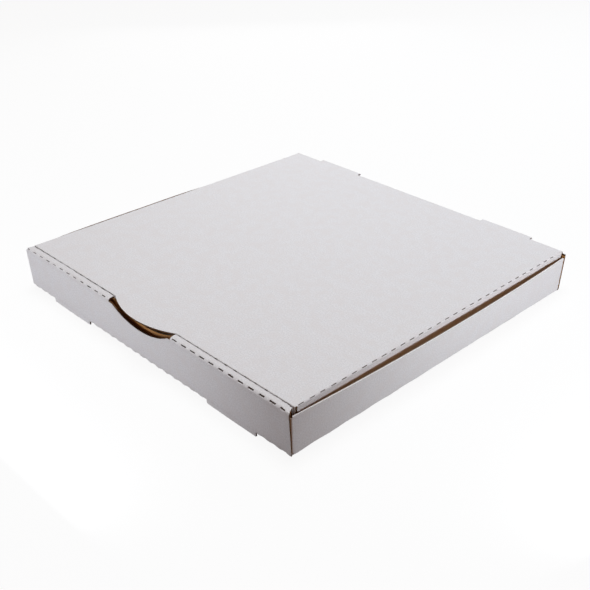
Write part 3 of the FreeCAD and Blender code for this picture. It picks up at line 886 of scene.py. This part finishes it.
    def add_base_and_back(self, board: BoardMesh) -> None:
        """Add the base panel and the back wall's fold, with the wall on it."""
        x = self.columns[np.abs(self.columns) < self.base_half + 0.01]
        flat = grid_of(x, self.rows[:, None], 0.0)
        board.add(Skin(flat, flat + [0, 0, self.board], flat[..., :2], first_row=self.in_tongue(middles(x)),
                       last_row=False, first_column=False, last_column=False))
        x, within, far = self.columns, self.back - self.board, 2 * self.band_z
        line, grids = self.folded([(self.rear_y, 0), (self.back, 0), (self.back, far)],
                                  [(self.rear_y, self.board), (within, self.board), (within, far)],
                                  (self.fold, self.tight), [1, 1], x)
        stop = line.turns[0].stop
        along = self.rear_y + lengths(line.points)
        board.add(Skin(*[grid[:stop] for grid in grids], grid_of(x, along[:stop, None]), last_row=False,
                       first_row=~between(x, -self.base_half, self.base_half)))
        self.add_back_wall(board, line.points[stop - 1, 1], along[stop - 1])

    def add_back_wall(self, board: BoardMesh, low: float, along: float) -> None:
        """The back wall above its fold: a plain band, then a band with the notched top edge.

        The top edge is notched for the hinge tongues and slants to the crease between them. Its
        two end posts, past inset, stand free.

        Args:
            board: Where the skins go.
            low: The outer face's height where the fold ends.
            along: The fold's end on the blank.
        """
        jumps = self.stepped([*self.tongue_edges(self.hinge_play), -self.inset, self.inset])
        wide = np.unique(np.concatenate([self.columns, jumps]))
        notched, middle = self.in_tongue(wide, self.hinge_play), middles(wide)
        top = np.where(notched, self.top - self.hinge_notch, self.top - self.hinge_band)
        top = np.where(np.abs(wide) > self.inset, self.top - self.post_drop, top)
        free = self.in_tongue(middle, self.hinge_play) | (np.abs(middle) > self.inset) | hair_steps(wide)
        bands = [(self.columns, (low, self.board + self.tight), (self.band_z, self.band_z), False),
                 (wide, (self.band_z, self.band_z), (top, top - np.where(notched, 0.0, self.board)), free)]
        share = np.linspace(0, 1, 6)[:, None]
        for x, starts, stops, last_row in bands:
            z = [start + (stop - start) * share for start, stop in zip(starts, stops)]
            grids = [self.widened(grid_of(x, y, h)) for y, h in zip((self.back, self.back - self.board), z)]
            board.add(Skin(*grids, grid_of(x, along + z[0] - low), first_row=False, last_row=last_row))

    def widened(self, grid: np.ndarray) -> np.ndarray:
        """Lean the back wall's last few millimetres out by corner_spread at the side walls' top."""
        x, z = grid[..., 0], grid[..., 2]
        share = np.clip((np.abs(x) - self.inset) / (self.half_width - self.inset), 0, 1)
        grid[..., 0] = x + np.sign(x) * share * self.corner_spread * np.clip(z / self.wall_top, 0, 1.1)
        return grid

    def bow(self, y: np.ndarray, z: np.ndarray) -> np.ndarray:
        """How far a side wall stands outwards: z / wall_top (spread s + 4 bow s (1 - s)).

        The share s runs from 0 at the wall's front end to 1 at its rear end. Above wall_top
        the wall goes straight up.
        """
        s = (y - self.bow_start) / (self.back - self.board - self.gap - self.bow_start)
        return np.minimum(z / self.wall_top, 1.0) * (self.rear_spread * s + 4 * self.wall_bow * s * (1 - s))

    def add_side(self, board: BoardMesh, side: int) -> None:
        """Add one side wall with its fold along the base and its two corner flaps.

        Args:
            board: Where the skins go.
            side: 1 for the right wall, -1 for the left one.
        """
        start = self.front_face(self.foot) + self.foot
        rear = self.back - self.board - self.gap
        y = np.concatenate([[start + self.fold], self.rows, [rear - self.fold]])
        y_fold = y[:-1]
        half, within = self.half_width, self.half_width - self.board
        inner_foot = self.foot + self.tight + self.foot_slack
        line, grids = self.folded([(self.base_half, 0), (half, 0), (half, self.foot)],
                                  [(self.base_half, self.board), (within, self.board), (within, inner_foot)],
                                  (self.fold - 0.001, self.tight), [0, 0], y_fold, along_x=False)
        for grid in grids:
            grid[..., 0] += self.bow(grid[..., 1], grid[..., 2])
        rounded = ease(1 - np.abs(np.linspace(-1, 1, len(line.points))))[:, None]
        grids[0][..., 2] -= rounded * (dashes(y_fold + 3.0, self.dash_pitch)
                                       * (0.25 + 0.45 * ramp(y_fold, 20, -70)))
        along = self.base_half + lengths(line.points)[:, None]
        self.put(board, side, Skin(*grids, grid_of(along, y_fold), last_row=False, wear=rounded * 0.6,
                                   first_row=np.arange(len(y_fold) - 1) == 0))
        z = np.concatenate([np.linspace(self.foot, self.flap_top, self.flap_rows),
                            self.wall_top - np.array(self.edge_rows)])[:, None]
        share = np.clip((y + self.wall_half) / (2 * self.wall_half), 0, 1)
        sag = -self.wall_sag * 4 * (share * (1 - share))
        change = sag if side > 0 else np.interp(y, *zip(*self.left_rise))
        z = z + change * ease(z / self.wall_top)
        fade = np.clip((self.lean_ends - y) / (self.lean_ends - start), 0, 1)
        outer_y = y + (self.front_face(z) - self.front_face(self.foot)) * fade
        inner_y = outer_y.copy()
        inner_y[:, 0] += self.board + self.tight - self.fold
        inner_y[:, -1] -= self.board + self.tight - self.fold
        inner_z = np.maximum(z, inner_foot)
        outer = grid_of(half + self.bow(outer_y, z), outer_y, z)
        inner = grid_of(within + self.bow(inner_y, inner_z), inner_y, inner_z)
        over = np.arange(len(z) - 1) >= self.flap_rows - 1
        pressed = outer.copy()
        pressed[-2:] = blend_to(outer[-2:], inner[-2:], np.array(self.edge_crush)[:, None])
        # The last three rows get the wear value rim_greying, which greys the wall's pressed top edge.
        greyed = np.zeros(outer.shape[:2])
        greyed[-3:] = self.rim_greying
        self.put(board, side, Skin(pressed, inner, grid_of(along[-1] + z - self.foot, y), wear=greyed,
                                   first_row=np.arange(len(y) - 1) == len(y) - 2, first_column=over,
                                   last_column=over))
        for way, end in ((-1, 0), (1, -1)):
            columns = [grid[:self.flap_rows, end] for grid in (outer, inner)]
            self.add_corner_flap(board, side, columns, way, z[:self.flap_rows, end, None], float(y[end]))

    def add_corner_flap(self, board: BoardMesh, side: int, columns: Sequence[np.ndarray], way: int,
                        z: np.ndarray, along: float) -> None:
        """A flap that turns from a side wall's end across the box.

        The corner is a quarter circle of the fold's radius from the wall's last column, and
        the flap then runs straight to its free end.

        Args:
            board: Where the skins go.
            side: 1 for the right wall, -1 for the left one.
            columns: The wall's last outer and inner column.
            way: -1 for the front flap, 1 for the rear one.
            z: The columns' heights.
            along: The columns' place on the blank.
        """
        turn = np.linspace(0, np.pi / 2, 7)[None, :]
        run = np.linspace(0, self.flap_length - self.fold, 14)[None, 1:]
        grids = []
        for column, radius in zip(columns, (self.fold, self.tight)):
            first, second = column[:, :1], column[:, 1:2]
            x = np.concatenate([first - radius * (1 - np.cos(turn)), first - radius - run], axis=1)
            y = np.concatenate([second + way * radius * np.sin(turn),
                                second + way * radius + 0 * run], axis=1)
            grids.append(grid_of(x, y, column[:, 2:]))
        path = np.concatenate([self.fold * turn, self.fold * np.pi / 2 + run], axis=1)
        grids[1][-1, :, 2] = grids[0][-1, :, 2]
        self.put(board, side, Skin(*grids, grid_of(self.half_width + z, along + way * path),
                                   first_column=False))

    def put(self, board: BoardMesh, side: int, skin: Skin) -> None:
        """Add a skin as it is for the right side, or mirrored in x for the left one."""
        skin.outer, skin.inner = [grid * (side, 1, 1) for grid in (skin.outer, skin.inner)]
        skin.sheet = skin.sheet * (side, 1)
        board.add(skin)

    def build(self, materials: list[bpy.types.Material]) -> bpy.types.Object:
        """Make the tray, which stands for the CAD node of that name."""
        board = BoardMesh()
        self.add_front(board)
        self.add_base_and_back(board)
        for side in (1, -1):
            self.add_side(board, side)
        piece = board.build("tray_board", materials)
        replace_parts(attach(piece, "tray"), "tray")
        return piece


@dataclass
class Lid(Blank):
    """The lid: top panel, tuck flap, side flaps, thumb tongue and the two hinge tongues."""

    column_spacing: float = 4.0
    row_spacing: float = 6.0
    half: float = 189.0
    clear: float = 0.45
    tuck_depth: float = 33.0
    tuck_lean: float = 2.6
    front_fold: float = 0.7
    tuck_taper: float = 10.0
    tuck_taper_x: float = 140.0
    tuck_taper_height: float = 28.8
    left_dashes: Pair = (-186.3, 12.0)
    right_dashes: Pair = (47.5, 12.15)
    flap_depth: float = 34.0
    flap_lean: float = 2.98
    flap_taper: float = 14.0
    flap_taper_height: float = 29.8
    flap_start: float = -181.147
    flap_stop: float = 187.0
    thumb_middle: float = -1.3
    thumb_half: float = 45.0
    thumb_reach: float = 11.6
    thumb_zone: float = 60.0
    hinge_reach: float = 4.2
    sag: float = 0.5
    blank_start: float = 232.0

    def __post_init__(self) -> None:
        """Lay out the grid places along x and y."""
        self.fold_y = self.front_face(self.top) + self.strip() + self.clear
        self.thumb = (self.thumb_middle - self.thumb_half, self.thumb_middle + self.thumb_half)
        self.slits = SlitRow(-179.6, 184.5, pitch=11.95, length=5.8, seed=8)
        edge = self.half - self.fold
        hard = [-edge, edge, self.stepped(self.tongue_edges()), self.stepped(self.thumb),
                spread(self.thumb[0] + 0.6, self.thumb[1] - 0.6, self.arc_spacing)]
        self.columns = places(hard, self.column_spacing)
        hard = [self.stepped([self.flap_start, self.flap_stop]), self.slits.edges()]
        self.rows = places(hard, self.row_spacing)

    def in_thumb(self, columns: np.ndarray) -> np.ndarray:
        """Whether each X place lies on the thumb tongue."""
        return (columns > self.thumb[0]) & (columns < self.thumb[1])

    def thumb_arc(self, columns: np.ndarray) -> np.ndarray:
        """How far the thumb tongue reaches past the fold at each X place."""
        return arc_depth(columns, self.thumb_middle, self.thumb_half, self.thumb_reach)

    def settle(self, grid: np.ndarray) -> np.ndarray:
        """Let the panel sag: z falls by sag (1 - (x/a)^2) (1 - (y/b)^2), and ripple slightly."""
        x, y = grid[..., 0] / self.half, grid[..., 1] / self.back
        inside = np.clip(1 - x ** 2, 0, 1) * np.clip(1 - y ** 2, 0, 1)
        ripple = 0.12 * np.sin(3.1 * x + 1.7 * y) * np.sin(2.3 * y - 0.8)
        grid[..., 2] -= inside * (self.sag + ripple)
        return grid

    def add_panel(self, board: BoardMesh) -> None:
        """Add the top panel with its thumb tongue and hinge tongues."""
        x, middle = self.columns, middles(self.columns)
        tip = self.fold_y - self.thumb_arc(x)
        rows_front, rows_rear = np.linspace(0, 1, 7)[:-1, None], np.linspace(0, 1, 5)[1:, None]
        first, last = self.rows[0], self.rows[-1]
        within, band = self.board + self.tight, self.hinge_band
        grids = []
        for height, fold, band, reach in ((self.top, self.front_fold, band, self.fold),
                                          (self.top - self.board, within, band + self.board, within)):
            start = np.where(self.in_thumb(x), tip, self.fold_y + fold)
            stop = np.where(self.in_tongue(x), self.back + self.hinge_reach, self.back - band)
            y = np.concatenate([start + (first - start) * rows_front,
                                np.broadcast_to(self.rows[:, None], (len(self.rows), len(x))),
                                last + (stop - last) * rows_rear])
            grid = grid_of(x, y, height)
            held = (y[:, 0] > self.flap_start) & (y[:, 0] < self.flap_stop)
            edge = np.where(held, self.half - reach, self.inset)
            grid[:, 0, 0], grid[:, -1, 0] = -edge, edge
            grids.append(self.settle(grid))
        free_side = ~between(grids[0][:, 0, 1], self.flap_start + 0.01, self.flap_stop - 0.01)
        steps, near = hair_steps(x), np.abs(middle) < self.thumb_zone
        board.add(Skin(*grids, self.sheet(grids[0]),
                       first_row=self.in_thumb(middle) | steps & near,
                       last_row=self.in_tongue(middle) | steps & ~near,
                       first_column=free_side, last_column=free_side))

    def sheet(self, grid: np.ndarray) -> np.ndarray:
        """Places on the flat blank: x as it is, y unrolled past the back wall."""
        return np.stack([grid[..., 0], self.blank_start + self.back - grid[..., 1]], axis=2)

    def add_side_flap(self, board: BoardMesh, side: int) -> None:
        """Add one side flap: the slitted fold along the panel's edge and the flap below it."""
        y = self.rows[(self.rows > self.flap_start) & (self.rows < self.flap_stop)]
        low, under, edge = self.top - self.flap_depth, self.top - self.board, self.half - self.board
        line, grids = self.folded(
            [(self.half - self.fold, self.top), (self.half, self.top), (self.half - self.flap_lean, low)],
            [(edge - self.tight, under), (edge, under), (edge - self.flap_lean, low)],
            (self.fold - 0.001, self.tight - 0.001), [0, 9], y, along_x=False)
        sheet = self.sheet(grids[0])
        turn = line.turns[0]
        across = np.abs(np.linspace(-1, 1, turn.stop - turn.start) + 0.35)
        slit, wear = np.zeros(grids[0].shape[:2]), np.zeros(grids[0].shape[:2])
        # The slit value dents the fold and paints the slit dark with painted shade.
        slit[turn] = ease((0.6 - across) / 0.35)[:, None] * self.slits.mask(y)
        wear[turn] = 0.4
        grids[0] = blend_to(grids[0], grids[1], slit * 0.25)
        for grid in grids:
            drop = np.clip((self.wall_top - grid[..., 2]) / self.flap_taper_height, 0, 1)
            cut = self.flap_start + self.flap_taper * drop
            share = (grid[..., 1] - self.flap_start) / (self.flap_stop - self.flap_start)
            grid[..., 1] = cut + share * (self.flap_stop - cut)
            grid[..., 0] *= side
        sheet[..., 0] = (self.half + lengths(line.points)[:, None]) * side
        board.add(Skin(*grids, sheet, first_row=False, slit=slit, wear=wear))

    def add_tuck_flap(self, board: BoardMesh) -> None:
        """Add the fold along the panel's front and the tuck flap that goes behind the front wall."""
        x = self.columns.copy()
        x[0], x[-1] = -self.inset, self.inset
        low, under, edge = self.top - self.tuck_depth, self.top - self.board, self.fold_y + self.board
        line, grids = self.folded(
            [(self.fold_y + self.front_fold, self.top), (self.fold_y, self.top),
             (self.fold_y + self.tuck_lean, low)],
            [(edge + self.tight, under), (edge, under), (edge + self.tuck_lean, low)],
            (self.front_fold - 0.001, self.tight - 0.001), [0, 9], x)
        turn = line.turns[0]
        sheet = self.sheet(grids[0])
        sheet[..., 1] = self.back - self.fold_y + self.blank_start + lengths(line.points)[:, None]
        slit, wear = np.zeros(grids[0].shape[:2]), np.zeros(grids[0].shape[:2])
        wear[turn] = 0.6
        # Painted shade: the dark dashes along the front fold come from the slit value alone; this fold has no
        # cut in its shape.
        left, right = [dashes(x - start, pitch) for start, pitch in (self.left_dashes, self.right_dashes)]
        row = np.where(x < 0, left, right)
        slit[turn] = ease(row * 1.4 - 0.2) * np.linspace(0.15, 0.9, turn.stop - turn.start)[:, None]
        front = Skin(*grids, sheet, slit=slit, wear=wear)
        for start, stop in ((x[0], self.thumb[0] - HAIR), (self.thumb[1] + HAIR, x[-1])):
            board.add(front.part(slice(0, turn.stop), span(x, start, stop), first_row=False, last_row=False))
        rim = under - np.clip(self.thumb_half - np.abs(x - self.thumb_middle), 0, 3) - self.thumb_arc(x)
        skins = []
        for grid in grids:
            part = grid[turn.stop - 1:].copy()
            top = np.where(self.in_thumb(x), np.minimum(rim, part[0, :, 2]), part[0, :, 2])
            reach = (top - low) / (part[0, :, 2] - low)
            part = part[-1:] + (part - part[-1:]) * reach[None, :, None]
            back = np.clip((self.wall_top - part[..., 2]) / self.tuck_taper_height, 0, 1) * self.tuck_taper
            from_x = self.tuck_taper_x
            wide = np.clip((np.abs(part[..., 0]) - from_x) / (self.inset - from_x), 0, 1)
            part[..., 0] -= np.sign(part[..., 0]) * back * wide
            skins.append(part)
        middle = middles(x)
        gap = self.in_thumb(middle) | hair_steps(x) & (np.abs(middle) < self.thumb_zone)
        board.add(Skin(*skins, sheet[turn.stop - 1:], first_row=gap))

    def build(self, materials: list[bpy.types.Material]) -> bpy.types.Object:
        """Make the lid, which stands for the CAD node of that name."""
        board = BoardMesh()
        self.add_panel(board)
        for side in (1, -1):
            self.add_side_flap(board, side)
        self.add_tuck_flap(board)
        piece = board.build("lid_board", materials)
        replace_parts(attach(piece, "lid"), "lid")
        return piece


@dataclass
class HingeCrease(Blank):
    """The crease between the back wall and the lid, in three lengths between the hinge tongues."""

    column_spacing: float = 6.0
    tongue_play: float = 0.02
    blank_start: float = 229.0

    def build(self, materials: list[bpy.types.Material]) -> bpy.types.Object:
        """Make the crease between the back wall and the lid.

        Its section is a quarter turn from the wall's slanting end to the panel's.
        """
        board = BoardMesh()
        band, inner_band = self.hinge_band, self.hinge_band + self.board
        back, top, within, under = self.back, self.top, self.back - self.board, self.top - self.board
        edges = [-self.inset, *self.tongue_edges(self.tongue_play), self.inset]
        for low, high in zip(edges[::2], edges[1::2]):
            x = spread(low, high, self.column_spacing)
            line, grids = self.folded(
                [(back, top - band), (back, top), (back - band, top)],
                [(within, top - inner_band), (within, under), (back - inner_band, under)],
                (self.fold, self.tight), [2, 2], x)
            wear = np.zeros((len(line.points), 1))
            wear[line.turns[0]] = 0.6
            board.add(Skin(*grids, grid_of(x, self.blank_start + lengths(line.points)[:, None]),
                           first_row=False, last_row=False, wear=wear))
        piece = board.build("hinge_crease", materials)
        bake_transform(piece)
        return piece


@dataclass
class SoftBox:
    """A studio lamp behind a diffuser: a rectangle of light turned to a point."""

    name: str
    place: Triple
    aim: Triple
    size: Pair
    power: float
    tint: Triple = (1.0, 1.0, 1.0)

    def build(self) -> None:
        """Make the lamp; its lengths are metres."""
        data = bpy.data.lights.new(self.name, "AREA")
        data.shape = "RECTANGLE"
        data.size, data.size_y = self.size
        data.energy = self.power
        data.color = self.tint
        lamp = placed(self.name, data)
        lamp.visible_camera = False
        lamp.location = self.place
        direction = Vector(self.aim) - Vector(self.place)
        lamp.rotation_euler = direction.to_track_quat("-Z", "Y").to_euler()


MIDDLE = (0.0, 0.0, 0.0)
LAMPS = (
    SoftBox("overhead_softbox", (-0.10, 0.05, 1.5), MIDDLE, (0.6, 0.6), 16.0, (0.906, 0.976, 1.0)),
    SoftBox("back_softbox", (0.0, 1.3, 0.8), MIDDLE, (1.0, 0.6), 7.2, (0.80, 0.90, 1.0)),
    SoftBox("right_strip", (0.484, 0.385, 0.03), (-0.504, 0.54, 0.03), (1.0, 0.05), 1.47,
            (0.919, 0.961, 1.0)),
    SoftBox("left_strip", (-0.46, -0.35, 0.03), (-0.46, 0.50, 0.03), (1.2, 0.05), 0.82,
            (0.899, 0.945, 1.0)),
    SoftBox("rear_corner_softbox", (-0.8, 0.65, 0.32), (-0.05, 0.05, 0.02), (0.7, 0.5), 1.1))


@dataclass
class Studio:
    """Camera, soft lamps, pale floor and white surroundings."""

    camera_place: Triple = (0.58979, -0.57370, 0.45979)
    azimuth: float = 45.81
    elevation: float = 29.71
    roll: float = 0.11
    lens: float = 56.12
    ambient: Triple = (0.12, 0.05, 0.03)
    floor_reach: float = 4.0

    def place_camera(self) -> None:
        """Set the camera at the photograph's angle, turned by its angles and a slight roll."""
        a, e, r = (math.radians(v) for v in (self.azimuth, self.elevation, self.roll))
        back = Vector((math.sin(a) * math.cos(e), -math.cos(a) * math.cos(e), math.sin(e)))
        level = Vector((math.cos(a), math.sin(a), 0))
        rise = back.cross(level)
        right = level * math.cos(r) + rise * math.sin(r)
        up = rise * math.cos(r) - level * math.sin(r)
        data = bpy.data.cameras.new("camera")
        data.lens, data.sensor_width = self.lens, 36.0
        data.clip_start, data.clip_end = 0.01, 30.0
        camera = placed("camera", data)
        turn = Matrix((right, up, back)).transposed().to_4x4()
        camera.matrix_world = Matrix.Translation(self.camera_place) @ turn
        bpy.context.scene.camera = camera

    def lay_floor(self, tray: Tray) -> None:
        """Lay a floor that touches the front tongues' tips and the back wall's foot."""
        drop, reach = tray.tongue_drop, self.floor_reach
        fall = drop / (tray.back - tray.front_face(-drop))
        corners = [(x, y, (y - tray.back * MM) * fall) for x, y in
                   ((-reach, -reach), (reach, -reach), (reach, reach), (-reach, reach))]
        mesh = bpy.data.meshes.new("floor")
        mesh.from_pydata(corners, [], [(0, 1, 2, 3)])
        mesh.materials.append(FloorFinish().build())
        placed("floor", mesh)

    def surround(self) -> None:
        """White surroundings for the camera and reflections, a dim even light for the rest."""
        world = bpy.data.worlds.new("white_surroundings")
        bpy.context.scene.world = world
        sheet = NodeSheet(world)
        colour = sheet.mix(sheet.shown(), (*self.ambient, 1.0), (1.0, 1.0, 1.0, 1.0))
        sheet.finish(sheet.add("Background", {0: colour}).outputs[0], "World")

    def build(self, tray: Tray) -> None:
        """Set up the camera, the lamps, the floor and the surroundings."""
        self.place_camera()
        self.lay_floor(tray)
        self.surround()
        for lamp in LAMPS:
            lamp.build()
        bpy.context.scene.view_settings.view_transform = "Standard"


def report(piece: bpy.types.Object) -> None:
    """Log a piece's name, size and number of faces."""
    lines = np.array([corner[:] for corner in piece.bound_box]) / MM
    LOG.info("%s: %s to %s mm, %d faces", piece.name, lines.min(axis=0).round(2),
             lines.max(axis=0).round(2), len(piece.data.polygons))


def main() -> None:
    """Build the box from the frame and set it in the studio."""
    logging.basicConfig(level=logging.INFO, format="%(name)s %(message)s")
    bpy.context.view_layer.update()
    materials = [finish.build() for finish in FINISHES]
    tray = Tray()
    for part in (tray, Lid(), HingeCrease()):
        report(part.build(materials))
    Studio().build(tray)


if __name__ == "__main__":
    main()
